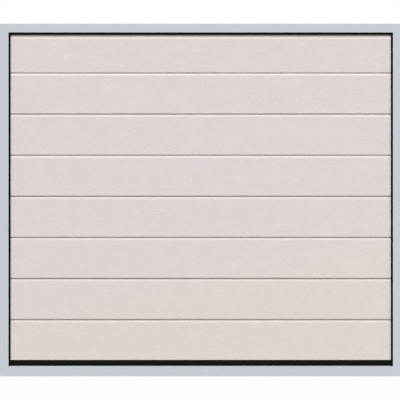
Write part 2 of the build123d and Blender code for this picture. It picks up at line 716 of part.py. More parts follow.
with BuildPart() as level_cables:
    with BuildLine() as cable_path:
        Line((CABLE_X, SHAFT_Y, up(CABLE_TOP)), (CABLE_X, PIVOT_Y, up(CABLE_TOP)))
        bend_middle = (CABLE_X, PIVOT_Y, up(UPPER_TRACK_HEIGHT))
        turn_plane = Plane(bend_middle, x_dir=(0, 1, 0), z_dir=(1, 0, 0))
        with BuildLine(turn_plane):
            CenterArc((0, 0), PULLEY_GROOVE, 90, 90)
    with BuildSketch(Plane((CABLE_X, SHAFT_Y, up(CABLE_TOP)), z_dir=(0, -1, 0))):
        Circle(CABLE_RADIUS)
    sweep(path=cable_path.wire())
    mirror(about=Plane.YZ)
save(level_cables, "level_cables")
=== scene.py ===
import math

import bpy
from mathutils import Matrix, Vector


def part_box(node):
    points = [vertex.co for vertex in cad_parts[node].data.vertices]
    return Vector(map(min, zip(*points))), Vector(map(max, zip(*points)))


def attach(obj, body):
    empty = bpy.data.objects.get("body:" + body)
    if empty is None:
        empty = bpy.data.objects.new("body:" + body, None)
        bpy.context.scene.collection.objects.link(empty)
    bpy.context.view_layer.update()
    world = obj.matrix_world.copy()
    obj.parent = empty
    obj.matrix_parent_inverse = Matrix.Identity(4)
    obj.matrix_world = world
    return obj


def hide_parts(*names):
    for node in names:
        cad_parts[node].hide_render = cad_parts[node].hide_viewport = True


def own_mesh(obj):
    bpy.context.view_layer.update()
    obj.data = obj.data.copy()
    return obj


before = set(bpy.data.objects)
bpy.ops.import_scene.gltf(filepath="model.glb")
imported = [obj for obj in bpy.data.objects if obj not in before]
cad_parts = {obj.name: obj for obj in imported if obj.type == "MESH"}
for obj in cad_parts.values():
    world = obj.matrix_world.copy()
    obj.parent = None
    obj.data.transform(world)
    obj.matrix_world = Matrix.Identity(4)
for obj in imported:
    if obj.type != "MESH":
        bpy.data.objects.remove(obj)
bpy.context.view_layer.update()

# Camera and place of the door in the photograph
# The door is seen square on; one column of the picture is 6.414 mm wide at the door.
# The middle row is 1066 mm above the sill's top, on which the side seals stand.
MILLIMETRE = 0.001
SILL_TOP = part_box("side_seals")[0].z
PICTURE_COLUMNS = 400
COLUMN_WIDTH = 6.414
PICTURE_WIDTH = PICTURE_COLUMNS * COLUMN_WIDTH * MILLIMETRE
VIEW_DISTANCE = 14.0
MIDDLE_COLUMN = -4.7
MIDDLE_ROW = 1066
VIEW_REACH = 100
SENSOR = 36.0

camera_data = bpy.data.cameras.new("view_camera")
camera_data.sensor_width = SENSOR
camera_data.lens = SENSOR * VIEW_DISTANCE / PICTURE_WIDTH
camera_data.clip_end = VIEW_REACH
camera = bpy.data.objects.new("view_camera", camera_data)
camera.location = (
    MIDDLE_COLUMN * MILLIMETRE,
    -VIEW_DISTANCE,
    SILL_TOP + MIDDLE_ROW * MILLIMETRE,
)
camera.rotation_euler = (math.radians(90), 0, 0)
bpy.context.scene.collection.objects.link(camera)
bpy.context.scene.camera = camera


# Frame: jambs, header and sill
# Folded 2 mm galvanised sheet under a pale blue-grey satin coat, screwed to the wall behind it.
# The folds are rounded and the coat follows the faint flow marks of the zinc below it.
FOLD_RADIUS = 0.0006
FLAT_ANGLE = 0.5
SAME_POINT = 0.00001
BLUE_GREY_DEEP = (0.542, 0.573, 0.612, 1)
BLUE_GREY_PALE = (0.566, 0.596, 0.634, 1)
COAT_RELIEF = 0.00012


class Value:
    """A shader value that adds Math nodes when it is summed, subtracted or scaled."""

    def __init__(self, nodes, socket):
        self.nodes = nodes
        self.socket = socket

    def math(self, operation, *others):
        return self.nodes.node("ShaderNodeMath", {"operation": operation}, self, *others)[0]

    def __add__(self, other):
        return self.math("ADD", other)

    def __sub__(self, other):
        return self.math("SUBTRACT", other)

    def __mul__(self, other):
        return self.math("MULTIPLY", other)

    def __rsub__(self, other):
        return self.nodes.node("ShaderNodeMath", {"operation": "SUBTRACT"}, other, self)[0]

    __radd__ = __add__
    __rmul__ = __mul__


class Nodes:
    """The nodes of one material or of the sky, and the shader that they feed."""

    def __init__(self, tree, shader):
        self.tree = tree
        self.shader = tree.nodes[shader]

    def node(self, kind, settings=None, *inputs, **named):
        """Add a node and give back its outputs; inputs are values or links, by place or name."""
        node = self.tree.nodes.new(kind)
        for key, setting in (settings or {}).items():
            if key == "stops":
                self.set_stops(node.color_ramp, setting)
            else:
                setattr(node, key, setting)
        sockets = list(enumerate(inputs))
        sockets += [(key.replace("_", " "), value) for key, value in named.items()]
        for key, value in sockets:
            if isinstance(value, Value):
                self.tree.links.new(value.socket, node.inputs[key])
            else:
                node.inputs[key].default_value = value
        return [Value(self, socket) for socket in node.outputs if socket.enabled]

    def set_stops(self, ramp, stops):
        """Set a ramp's two ends, each given as its place and its shade of grey."""
        for element, (place, shade) in zip(ramp.elements, stops):
            element.position = place
            element.color = (shade, shade, shade, 1)

    def feed(self, socket, value):
        self.tree.links.new(value.socket, self.shader.inputs[socket])


class Finish(Nodes):
    """A material made of layered patterns in the object's own coordinates."""

    def __init__(self, name, **constants):
        self.material = bpy.data.materials.new(name)
        self.material.use_nodes = True
        super().__init__(self.material.node_tree, "Principled BSDF")
        for socket, value in constants.items():
            self.shader.inputs[socket.replace("_", " ")].default_value = value

    def place(self):
        """The point's own coordinates, in metres."""
        return self.node("ShaderNodeTexCoord")[3]

    def noise(self, scale, detail=2.0, place=None, roughness=0.5):
        """Clouds from 0 to 1, scale of them to a metre."""
        where = place or self.place()
        values = {"Vector": where, "Scale": scale, "Detail": detail, "Roughness": roughness}
        return self.node("ShaderNodeTexNoise", None, **values)[0]

    def stretched(self, x, y, z):
        """The point's own coordinates, with each axis scaled."""
        return self.node("ShaderNodeMapping", None, Vector=self.place(), Scale=(x, y, z))[0]

    def ramp(self, value, stops):
        return self.node("ShaderNodeValToRGB", {"stops": stops}, value)[0]

    def mix(self, factor, first, second):
        blend = {"data_type": "RGBA"}
        return self.node("ShaderNodeMix", blend, Factor=factor, A=first, B=second)[0]

    def multiply(self, first, second):
        blend = {"data_type": "RGBA", "blend_type": "MULTIPLY"}
        return self.node("ShaderNodeMix", blend, Factor=1.0, A=first, B=second)[0]

    def between(self, value, low, high):
        """0 at low, 1 at high and a straight run in the middle."""
        return self.node("ShaderNodeMapRange", None, Value=value, From_Min=low, From_Max=high)[0]

    def shade(self, pattern, deep, pale):
        """Colour that runs from deep to pale with a pattern."""
        self.feed("Base Color", self.mix(pattern, deep, pale))

    def dull(self, pattern, least, more):
        """Roughness that grows from least by more with a pattern."""
        self.feed("Roughness", least + more * pattern)

    def bump(self, height, depth):
        """Raise the surface by height, which runs from 0 to 1, times depth in metres."""
        self.feed("Normal", self.node("ShaderNodeBump", None, Distance=depth, Height=height)[0])


def deselect():
    for item in list(bpy.context.selected_objects):
        item.select_set(False)


def even_shading(piece, angle):
    """Smooth the piece up to an angle, with its broad faces kept flat."""
    bpy.ops.object.shade_smooth_by_angle(angle=math.radians(angle))
    flat_faces = piece.modifiers.new("flat_faces", "WEIGHTED_NORMAL")
    flat_faces.keep_sharp = True
    bpy.ops.object.modifier_apply(modifier="flat_faces")


def rounded(node_name, width, segments=2, angle=30):
    """A copy of a node with its sharp edges rounded, which stands in its place."""
    deselect()
    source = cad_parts[node_name]
    piece = bpy.data.objects.new(node_name + "_rounded", source.data.copy())
    bpy.context.scene.collection.objects.link(piece)
    piece.data.materials.clear()
    piece.select_set(True)
    bpy.context.view_layer.objects.active = piece
    bpy.ops.object.mode_set(mode="EDIT")
    bpy.ops.mesh.select_all(action="SELECT")
    bpy.ops.mesh.remove_doubles(threshold=SAME_POINT)
    bpy.ops.mesh.dissolve_limited(angle_limit=math.radians(FLAT_ANGLE))
    bpy.ops.object.mode_set(mode="OBJECT")
    bevel = piece.modifiers.new("rounding", "BEVEL")
    bevel.width = width
    bevel.segments = segments
    bevel.limit_method = "ANGLE"
    bevel.angle_limit = math.radians(angle)
    bpy.ops.object.modifier_apply(modifier="rounding")
    even_shading(piece, angle)
    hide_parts(node_name)
    return piece


def finish_piece(piece, finish, body):
    """Give a finished piece its material, slot and body."""
    piece.data.materials.clear()
    piece.data.materials.append(finish.material)
    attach(piece, body)


frame_coat = Finish("blue_grey_coat")
flow_marks = frame_coat.noise(9.0, 4.0, frame_coat.stretched(1.0, 1.0, 0.35))
frame_coat.shade(flow_marks, BLUE_GREY_DEEP, BLUE_GREY_PALE)
frame_coat.dull(flow_marks, 0.38, 0.14)
frame_coat.bump(frame_coat.noise(420.0, 3.0), COAT_RELIEF)

for node_name in ("jamb_left", "jamb_right", "header", "sill"):
    finish_piece(rounded(node_name, FOLD_RADIUS), frame_coat, "frame")


# Seals
# Extruded black rubber: a lip in the opening on three sides, and a hollow bulb under the leaf.
# It is matt and lightly mottled, with a fine grain.
LIP_RADIUS = 0.0006
BULB_RADIUS = 0.0008
RUBBER_DEEP = (0.004, 0.0043, 0.0033, 1)
RUBBER_PALE = (0.008, 0.008, 0.0066, 1)
RUBBER_RELIEF = 0.0001

rubber = Finish("black_rubber", Specular_IOR_Level=0.05)
mottling = rubber.noise(300.0)
rubber.shade(mottling, RUBBER_DEEP, RUBBER_PALE)
rubber.dull(mottling, 0.66, 0.2)
rubber.bump(rubber.noise(900.0), RUBBER_RELIEF)

for node_name in ("side_seals", "top_seal"):
    finish_piece(rounded(node_name, LIP_RADIUS, 3), rubber, "frame")
finish_piece(rounded("bottom_seal", BULB_RADIUS, 3), rubber, "lower_leaf")


# Sections of the leaf
# Two roll-formed steel skins on foam, with a rib across the middle and a tongue below.
# The front is embossed like fine stucco, in a rosy off-white that is warmer near the ground.
# Its grooves carry a painted highlight near the top and painted shade near the bottom.
LEAF_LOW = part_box("section_1")[0].z
LEAF_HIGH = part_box("section_4")[1].z
LEAF_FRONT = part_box("section_1")[0].y
WARM_COAT = (0.742, 0.688, 0.645, 1)
ROSE_COAT = (0.746, 0.683, 0.667, 1)
SHADED_COAT = (0.925, 0.925, 0.93, 1)
# Groove colours: a paler one painted as a highlight near the top, and a darker one painted as
# shade near the bottom
GROOVE_HIGHLIGHT_COAT = (0.83, 0.765, 0.745, 1)
GROOVE_SHADE_COAT = (0.36, 0.345, 0.32, 1)
MOST_GROOVE_SHADE = 0.38
GROOVE_SIDES = (LEAF_FRONT + 0.0015, LEAF_FRONT + 0.007)
PAST_GROOVES = (LEAF_FRONT + 0.030, LEAF_FRONT + 0.020)
ROSE_HEIGHTS = (LEAF_LOW + 0.25, LEAF_LOW + 0.85)
ROSE_TILT = 0.2
STUCCO_RELIEF = 0.0006
SKIN_RADIUS = 0.001
SKIN_ANGLE = 20

coated_panel = Finish("coated_panel")
across, depth_in, height = coated_panel.node("ShaderNodeSeparateXYZ", None, coated_panel.place())
rise = coated_panel.between(height, LEAF_LOW, LEAF_HIGH)
past_face = coated_panel.between(depth_in, *GROOVE_SIDES)
in_groove = past_face * coated_panel.between(depth_in, *PAST_GROOVES)
rose = coated_panel.between(height - ROSE_TILT * across, *ROSE_HEIGHTS)
tint = coated_panel.mix(rose, WARM_COAT, ROSE_COAT)
stucco = coated_panel.noise(170.0, 3.0, coated_panel.stretched(1.0, 1.0, 0.8), 0.55)
grain = coated_panel.noise(75.0)
clouds = 0.3 * stucco + 0.45 * grain + 0.25 * coated_panel.noise(14.0, 3.0)
mottle = coated_panel.ramp(clouds, [(0.36, 0.0), (0.64, 1.0)])
islands = coated_panel.ramp(stucco, [(0.42, 0.0), (0.58, 1.0)])
mottled_coat = coated_panel.mix(mottle, coated_panel.multiply(tint, SHADED_COAT), tint)

# Painted highlight: the grooves are painted paler towards the top. Painted shade: they are painted
# darker towards the bottom.
highlighted_coat = coated_panel.mix(in_groove * rise, mottled_coat, GROOVE_HIGHLIGHT_COAT)
groove_shade = MOST_GROOVE_SHADE * in_groove * (1 - rise)
coated_panel.shade(groove_shade, highlighted_coat, GROOVE_SHADE_COAT)
coated_panel.dull(stucco, 0.42, 0.16)
coated_panel.bump(islands, STUCCO_RELIEF)

for number, body in ((1, "lower_leaf"), (2, "lower_leaf"), (3, "lower_leaf"), (4, "top_section")):
    skins = rounded(f"section_{number}", SKIN_RADIUS, 3, SKIN_ANGLE)
    finish_piece(skins, coated_panel, body)


# Galvanised steel running gear: tracks, brackets, hinges, plates and end caps
# Pressed and folded from zinc-coated sheet, bolted together through punched holes.
# The zinc shows as pale flakes of slightly different grey, dulled by handling.
ZINC_DEEP = (0.50, 0.52, 0.535, 1)
ZINC_PALE = (0.68, 0.70, 0.715, 1)
ZINC_RELIEF = 0.0002
EDGE_RADIUS = 0.0004
EDGE_ANGLE = 40

galvanised = Finish("galvanised", Metallic=0.85)
flakes = galvanised.node("ShaderNodeTexVoronoi", None, Vector=galvanised.place(), Scale=160.0)
flake_shade = galvanised.node("ShaderNodeSeparateColor", None, flakes[1])[0]
dulled = galvanised.noise(22.0, 4.0)
zinc_tone = 0.55 * flake_shade + 0.45 * dulled
galvanised.shade(zinc_tone, ZINC_DEEP, ZINC_PALE)
galvanised.dull(zinc_tone, 0.30, 0.22)
galvanised.bump(dulled, ZINC_RELIEF)

GEAR = {
    "frame": [
        "vertical_track_left", "vertical_track_right", "curved_track_left", "curved_track_right",
        "lower_track_left", "lower_track_right", "upper_track_left", "upper_track_right",
        "track_brackets", "corner_plates", "cross_rail", "hanger_brackets", "bearing_plates",
        "torsion_shaft",
    ],
    "top_section": ["end_caps_4", "upper_hinge_leaves", "top_brackets"],
    "lower_leaf": [
        "end_caps_1", "end_caps_2", "end_caps_3", "bottom_brackets", "hinges_1_2", "hinges_2_3",
        "lower_hinge_leaves",
    ],
}
for body, names in GEAR.items():
    for node_name in names:
        sheet = rounded(node_name, EDGE_RADIUS, 1, EDGE_ANGLE)
        finish_piece(sheet, galvanised, body)


# Aluminium rail under the bottom section
# An extruded carrier, screwed up into the section, that holds the rubber bulb by its flanges.
# Mill finish, with faint lines along the extrusion.
MILL_DEEP = (0.62, 0.62, 0.63, 1)
MILL_PALE = (0.76, 0.76, 0.77, 1)

aluminium = Finish("aluminium_rail", Metallic=0.9)
draw_lines = aluminium.noise(400.0, place=aluminium.stretched(0.02, 1.0, 1.0))
aluminium.shade(draw_lines, MILL_DEEP, MILL_PALE)
aluminium.dull(draw_lines, 0.25, 0.2)
finish_piece(rounded("bottom_rail", FOLD_RADIUS), aluminium, "lower_leaf")


# Torsion springs
# Close-wound coils of 6 mm oil-tempered wire, fixed in the middle and wound at their outer ends.
# The coils are dark and lightly oiled, so their crowns catch the light.
OIL_DEEP = (0.045, 0.045, 0.05, 1)
OIL_PALE = (0.12, 0.12, 0.13, 1)
SPRING_LOW, SPRING_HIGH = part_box("torsion_springs")
SHAFT_Y = (SPRING_LOW.y + SPRING_HIGH.y) / 2
SHAFT_Z = (SPRING_LOW.z + SPRING_HIGH.z) / 2
COIL_RADIUS = (SPRING_HIGH.z - SPRING_LOW.z) / 2
WIRE_RADIUS = 0.003
COIL_PITCH = 0.0061
SPRING_START = 0.075
WIRE_SIDES = 8
COIL_STEPS = 24
COIL_ANGLE = 50

spring_wire = Finish("oiled_spring_steel", Metallic=0.8)
oil_film = spring_wire.noise(60.0, 3.0)
spring_wire.shade(oil_film, OIL_DEEP, OIL_PALE)
spring_wire.dull(oil_film, 0.25, 0.25)


def wound_spring(name, side):
    """One coil from the spring bracket out to its winding cone, with both ends closed."""
    deselect()
    first_turn = (side * (SPRING_START + WIRE_RADIUS), 0, COIL_RADIUS - WIRE_RADIUS)
    upright = (math.radians(90), 0, 0)
    bpy.ops.mesh.primitive_circle_add(
        vertices=WIRE_SIDES, radius=WIRE_RADIUS, location=first_turn, rotation=upright
    )
    coil = bpy.context.active_object
    coil.name = name
    bpy.ops.object.transform_apply(location=True, rotation=True, scale=True)
    winding = coil.modifiers.new("winding", "SCREW")
    winding.axis = "X"
    winding.screw_offset = side * COIL_PITCH
    wound_length = SPRING_HIGH.x - SPRING_START - 2 * WIRE_RADIUS
    winding.iterations = int(wound_length / COIL_PITCH)
    winding.steps = COIL_STEPS
    winding.render_steps = COIL_STEPS
    bpy.ops.object.modifier_apply(modifier="winding")
    coil.location = (0, SHAFT_Y, SHAFT_Z)
    bpy.ops.object.transform_apply(location=True, rotation=True, scale=True)
    bpy.ops.object.mode_set(mode="EDIT")
    bpy.ops.mesh.select_all(action="SELECT")
    bpy.ops.mesh.fill_holes(sides=WIRE_SIDES)
    bpy.ops.mesh.normals_make_consistent(inside=False)
    bpy.ops.object.mode_set(mode="OBJECT")
    bpy.ops.object.shade_smooth_by_angle(angle=math.radians(COIL_ANGLE))
    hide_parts("torsion_springs")
    finish_piece(coil, spring_wire, "frame")


wound_spring("torsion_spring_left", -1)
wound_spring("torsion_spring_right", 1)


# Spring bracket
# A bracket on the middle of the cross rail, which holds the springs' inner ends.
# It is die-cast aluminium with a fine skin, like the cones and drums.
CAST_RADIUS = 0.001
CAST_DEEP = (0.36, 0.36, 0.37, 1)
CAST_PALE = (0.60, 0.60, 0.61, 1)
CAST_RELIEF = 0.0003

cast = Finish("cast_aluminium", Metallic=0.85)
skin = cast.noise(260.0, 3.0)
worn_patches = cast.noise(35.0, 3.0)
cast.shade(0.5 * skin + 0.5 * worn_patches, CAST_DEEP, CAST_PALE)
cast.dull(skin, 0.38, 0.3)
cast.bump(skin, CAST_RELIEF)
bracket = rounded("spring_bracket", CAST_RADIUS, 2, EDGE_ANGLE)
finish_piece(bracket, cast, "frame")


# Winding cones
# Cast cones at the springs' outer ends, each with four sockets for the winding bars.
# Two square-headed set screws lock each one to the shaft.
SHAFT_HEIGHT = (SHAFT_Z - SILL_TOP) / MILLIMETRE
SHAFT_BACK = SHAFT_Y / MILLIMETRE
SHAFT_RADIUS = 12.7
CONE_START = 620
CONE_PROFILE = [
    (0, 24), (3, 27.3), (29, 27.3), (30, 33.3), (36, 33.3), (38, 26), (60, 25), (63, 32.5),
    (65, 33.4), (91, 33.4), (95, 30), (100, 28), (100, SHAFT_RADIUS), (0, SHAFT_RADIUS), (0, 24),
]
CONE_SCREW = [(22, 4.5), (27, 4.5), (27, 3.2), (31, 3.2), (31.6, 2.6)]
CONE_SCREW_ALONG = 49
SOCKET_ALONG = 78
SOCKET_RADIUS = 6.5
SOCKET_DEPTH = 90
SOCKET_SIDES = 22
TURNED_ANGLE = 35
FACING = {
    "+x": Matrix.Identity(4),
    "-x": Matrix.Rotation(math.radians(180), 4, "Z"),
    "+y": Matrix.Rotation(math.radians(90), 4, "Z"),
    "+z": Matrix.Rotation(math.radians(-90), 4, "Y"),
}


def spot(x, y, height):
    """A place in the frame from millimetres, its height taken above the sill's top."""
    return Vector((x, y, height)) * MILLIMETRE + Vector((0, 0, SILL_TOP))


def turned(name, stations, sides):
    """A piece turned round the X axis through (along, radius) stations in millimetres.

    It is a ring where the last station is the first again, and otherwise closed by flat ends.
    """
    deselect()
    along, radius = stations[0]
    is_ring = stations[0] == stations[-1]
    bpy.ops.mesh.primitive_circle_add(
        vertices=sides, radius=radius * MILLIMETRE, fill_type="NOTHING" if is_ring else "NGON",
        location=(0, 0, along * MILLIMETRE),
    )
    piece = bpy.context.active_object
    piece.name = name
    bpy.ops.object.transform_apply(location=True, rotation=True, scale=True)
    bpy.ops.object.mode_set(mode="EDIT")
    bpy.ops.mesh.select_all(action="SELECT")
    for next_along, next_radius in stations[1:]:
        step = (0, 0, (next_along - along) * MILLIMETRE)
        bpy.ops.mesh.extrude_region_move(TRANSFORM_OT_translate={"value": step})
        growth = next_radius / radius
        bpy.ops.transform.resize(value=(growth, growth, 1), center_override=(0, 0, 0))
        along, radius = next_along, next_radius
    bpy.ops.mesh.select_all(action="SELECT")
    bpy.ops.mesh.remove_doubles(threshold=SAME_POINT)
    bpy.ops.mesh.normals_make_consistent(inside=False)
    bpy.ops.object.mode_set(mode="OBJECT")
    piece.rotation_euler = (0, math.radians(90), 0)
    bpy.ops.object.transform_apply(location=True, rotation=True, scale=True)
    bpy.ops.object.shade_smooth_by_angle(angle=math.radians(TURNED_ANGLE))
    return piece


def joined(name, parts):
    """Several objects made one piece."""
    deselect()
    for part in parts:
        part.select_set(True)
    bpy.context.view_layer.objects.active = parts[0]
    bpy.ops.object.join()
    parts[0].name = name
    return parts[0]


def repeated(name, model, places):
    """Copies of a model, one set at each (place, facing), joined; the model itself goes."""
    copies = []
    for place, facing in places:
        copy = model.copy()
        copy.data = model.data.copy()
        copy.data.transform(Matrix.Translation(place) @ FACING[facing])
        bpy.context.scene.collection.objects.link(copy)
        copies.append(copy)
    bpy.data.objects.remove(model)
    return joined(name, copies)


def both_sides(places):
    """Places given as (x, y, height) in millimetres on the right, and their mirror images."""
    mirrored = []
    for x, y, height in places:
        mirrored += [(spot(x, y, height), "+x"), (spot(-x, y, height), "-x")]
    return mirrored


def with_set_screws(piece, stations, along, turns):
    """Join square screws to a turned piece, standing out from its axis at each turn."""
    screws = []
    for turn in turns:
        screw = turned("set_screw", stations, 4)
        screw.data.transform(Matrix.Rotation(math.radians(turn), 4, "X") @ FACING["+z"])
        screw.data.transform(Matrix.Translation((along * MILLIMETRE, 0, 0)))
        screws.append(screw)
    return joined(piece.name, [piece] + screws)


cone = turned("winding_cone", CONE_PROFILE, 48)
for turn in (0, 90):
    deselect()
    bpy.ops.mesh.primitive_cylinder_add(
        vertices=SOCKET_SIDES, radius=SOCKET_RADIUS * MILLIMETRE, depth=SOCKET_DEPTH * MILLIMETRE,
        location=(SOCKET_ALONG * MILLIMETRE, 0, 0), rotation=(math.radians(turn), 0, 0),
    )
    drill = bpy.context.active_object
    sockets = cone.modifiers.new("sockets", "BOOLEAN")
    sockets.object = drill
    deselect()
    cone.select_set(True)
    bpy.context.view_layer.objects.active = cone
    bpy.ops.object.modifier_apply(modifier="sockets")
    bpy.data.objects.remove(drill)
bpy.ops.object.mode_set(mode="EDIT")
bpy.ops.mesh.select_all(action="SELECT")
bpy.ops.mesh.remove_doubles(threshold=SAME_POINT)
bpy.ops.mesh.dissolve_degenerate(threshold=SAME_POINT)
bpy.ops.object.mode_set(mode="OBJECT")
bpy.ops.object.shade_smooth_by_angle(angle=math.radians(TURNED_ANGLE))
cone = with_set_screws(cone, CONE_SCREW, CONE_SCREW_ALONG, (45, 225))
cone_places = both_sides([(CONE_START, SHAFT_BACK, SHAFT_HEIGHT)])
cones = repeated("winding_cones_cast", cone, cone_places)
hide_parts("winding_cones")
finish_piece(cones, cast, "frame")


# Cable drums
# Cast drums near the shaft's ends, grooved for the cable, with a tall flange on the inner side.
# Each is locked to the shaft by a hub with two set screws.
DRUM_START = 1198
DRUM_SCREW = [(20, 4.5), (27.5, 4.5), (28.2, 3.8)]
DRUM_SCREW_ALONG = 14
GROOVES = 6
GROOVE_PITCH = 4.5
FIRST_GROOVE = 34.5

drum_profile = [
    (0, 22), (1.5, 24), (27, 24), (30, 28), (30.4, 51.5), (31.4, 52.5), (33, 52.5), (34.2, 51),
]
for groove in range(GROOVES):
    edge = FIRST_GROOVE + GROOVE_PITCH * groove
    drum_profile += [(edge + 1.2, 48.4), (edge + 2.4, 48.4), (edge + 3.6, 49.7)]
drum_profile += [
    (62, 48), (62, 44), (57, 43), (57, 18), (59, 17), (59, SHAFT_RADIUS), (0, SHAFT_RADIUS),
    (0, 22),
]
drum = turned("cable_drum", drum_profile, 64)
drum = with_set_screws(drum, DRUM_SCREW, DRUM_SCREW_ALONG, (0, 120))
drum_places = both_sides([(DRUM_START, SHAFT_BACK, SHAFT_HEIGHT)])
drums = repeated("cable_drums_cast", drum, drum_places)
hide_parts("cable_drums")
finish_piece(drums, cast, "frame")


# Head pulleys
# Pressed steel wheels 50 mm across with a deep groove, turning on the corner plates' axles.
# They share the zinc of the running gear.
PULLEY_PROFILE = [
    (0, 24.2), (0.6, 25), (1.5, 25), (3.2, 21.4), (4.4, 20.5), (5.6, 20.5), (6.8, 21.4), (8.5, 25),
    (9.4, 25), (10, 24.2), (10, 19), (7.4, 18), (7.4, 10.5), (10, 9.5), (10, 4.3), (0, 4.3),
    (0, 9.5), (2.6, 10.5), (2.6, 18), (0, 19), (0, 24.2),
]
PULLEY_X = 1241
PIVOT_Y = 68
UPPER_TRACK = 2163

pulley = turned("head_pulley", PULLEY_PROFILE, 48)
pulley_places = both_sides([(PULLEY_X, PIVOT_Y, UPPER_TRACK)])
pulleys = repeated("head_pulleys_grooved", pulley, pulley_places)
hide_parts("head_pulleys")
finish_piece(pulleys, galvanised, "head_pulleys")


# Rollers
# White nylon wheels, 42 mm across, with a rounded tread and a ball race pressed in.
# Each turns on a plain steel stem that passes through a hinge's or bracket's tube.
NYLON_DEEP = (0.66, 0.65, 0.60, 1)
NYLON_PALE = (0.84, 0.83, 0.79, 1)
NYLON_RELIEF = 0.0002
WHEEL_PROFILE = [
    (0.8, 19.4), (2, 20.6), (4, 21), (8, 21), (10, 20.6), (11.2, 19.4), (11.2, 16), (9.6, 15),
    (9.6, 10.5), (2.4, 10.5), (2.4, 15), (0.8, 16), (0.8, 19.4),
]
RACE_PROFILE = [
    (1.2, 10.5), (10.8, 10.5), (10.8, 8.8), (9.8, 8.4), (9.8, 7), (10.8, 6.6), (10.8, 5), (1.2, 5),
    (1.2, 6.6), (2.2, 7), (2.2, 8.4), (1.2, 8.8), (1.2, 10.5),
]
STEM_PROFILE = [
    (0, 4.2), (0.9, 5), (84, 5), (84, 7), (87.6, 7), (87.6, 5), (100, 5), (100, 7), (101.2, 7),
    (102, 5.6),
]
STEM_START = 1176
WHEEL_START = 1264
HINGE_LINES = (561.4, 1089, 1616.6)
FOOT_ROLLER = 92
TOP_ROLLER_Y = 116
LEAF_ROLLERS = [(PIVOT_Y, height) for height in (*HINGE_LINES, FOOT_ROLLER)]
TOP_ROLLERS = [(TOP_ROLLER_Y, UPPER_TRACK)]

nylon = Finish("nylon_roller", IOR=1.53)
moulding = nylon.noise(120.0)
scuffs = nylon.noise(45.0, 5.0)
nylon.shade(0.5 * moulding + 0.5 * scuffs, NYLON_DEEP, NYLON_PALE)
nylon.dull(scuffs, 0.3, 0.25)
nylon.bump(moulding, NYLON_RELIEF)

for label, node_name, body, centres in (
    ("leaf", "rollers", "lower_leaf", LEAF_ROLLERS),
    ("top", "top_rollers", "top_section", TOP_ROLLERS),
):
    wheel_places = both_sides([(WHEEL_START, *centre) for centre in centres])
    wheels = repeated(f"{label}_roller_wheels", turned("wheel", WHEEL_PROFILE, 40), wheel_places)
    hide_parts(node_name)
    finish_piece(wheels, nylon, body)
    races = repeated("races", turned("race", RACE_PROFILE, 24), wheel_places)
    stem_places = both_sides([(STEM_START, *centre) for centre in centres])
    stems = repeated("stems", turned("stem", STEM_PROFILE, 24), stem_places)
    steel_parts = joined(f"{label}_roller_stems", [stems, races])
    finish_piece(steel_parts, galvanised, body)


# Screws of the leaf
# Hex-headed screws with a pressed washer hold hinges, brackets and end caps to the sections.
# They are zinc-plated, brighter than the sheet below them.
PLATING_DEEP = (0.60, 0.61, 0.62, 1)
PLATING_PALE = (0.80, 0.80, 0.79, 1)
CENTRE_HINGES = (-610, 0, 610)
CENTRE_SCREWS = (-23, 23)
SIDE_SCREWS = (-1220, -1192, 1192, 1220)
CENTRE_PLATE_BACK = 56.5
SIDE_PLATE_BACK = 58
BRACKET_BACK = 58.5
FLANGE_BACK = 55.5
CAP_SCREW_X = 1205
CAP_SCREW_STEP = 100
SCREW_RISE = 52
RIBS = (297.6, 825.2, 1352.8, 1880.4)

bright_zinc = Finish("bright_zinc", Metallic=0.9)
plating = bright_zinc.noise(90.0, 3.0)
bright_zinc.shade(plating, PLATING_DEEP, PLATING_PALE)
bright_zinc.dull(plating, 0.22, 0.2)


def hex_screw():
    """Washer and hexagonal head of one screw, standing on the X axis."""
    washer = turned("washer", [(0, 7.4), (1.1, 7.4), (1.6, 6.4)], 16)
    head = turned("head", [(1, 5.3), (5, 5.3), (5.6, 4.5)], 6)
    return joined("screw", [washer, head])


def hinge_screws(line, direction):
    """Places of the screws in the hinge leaves above or below one line."""
    height = line + direction * SCREW_RISE
    places = []
    for middle in CENTRE_HINGES:
        for offset in CENTRE_SCREWS:
            places.append((spot(middle + offset, CENTRE_PLATE_BACK, height), "+y"))
    for x in SIDE_SCREWS:
        places.append((spot(x, SIDE_PLATE_BACK, height), "+y"))
    return places


def back_screws(xs, y, heights):
    """Places of screws facing inwards on the left and on the right."""
    places = []
    for side in (-1, 1):
        for x in xs:
            places += [(spot(side * x, y, height), "+y") for height in heights]
    return places


leaf_screws = []
for line in HINGE_LINES:
    leaf_screws += hinge_screws(line, -1)
for line in HINGE_LINES[:2]:
    leaf_screws += hinge_screws(line, 1)
for rib in RIBS[:3]:
    cap_heights = (rib - CAP_SCREW_STEP, rib, rib + CAP_SCREW_STEP)
    leaf_screws += back_screws((CAP_SCREW_X,), FLANGE_BACK, cap_heights)
leaf_screws += back_screws((1192, 1220), BRACKET_BACK, (60, 136))
leaf_heads = repeated("leaf_screws", hex_screw(), leaf_screws)
finish_piece(leaf_heads, bright_zinc, "lower_leaf")

top_screws = hinge_screws(HINGE_LINES[2], 1)
top_screws += back_screws((CAP_SCREW_X,), FLANGE_BACK, (RIBS[3] - CAP_SCREW_STEP, RIBS[3]))
top_screws += back_screws((1212,), BRACKET_BACK, (2004, 2060, 2116))
top_heads = repeated("top_screws", hex_screw(), top_screws)
finish_piece(top_heads, bright_zinc, "top_section")


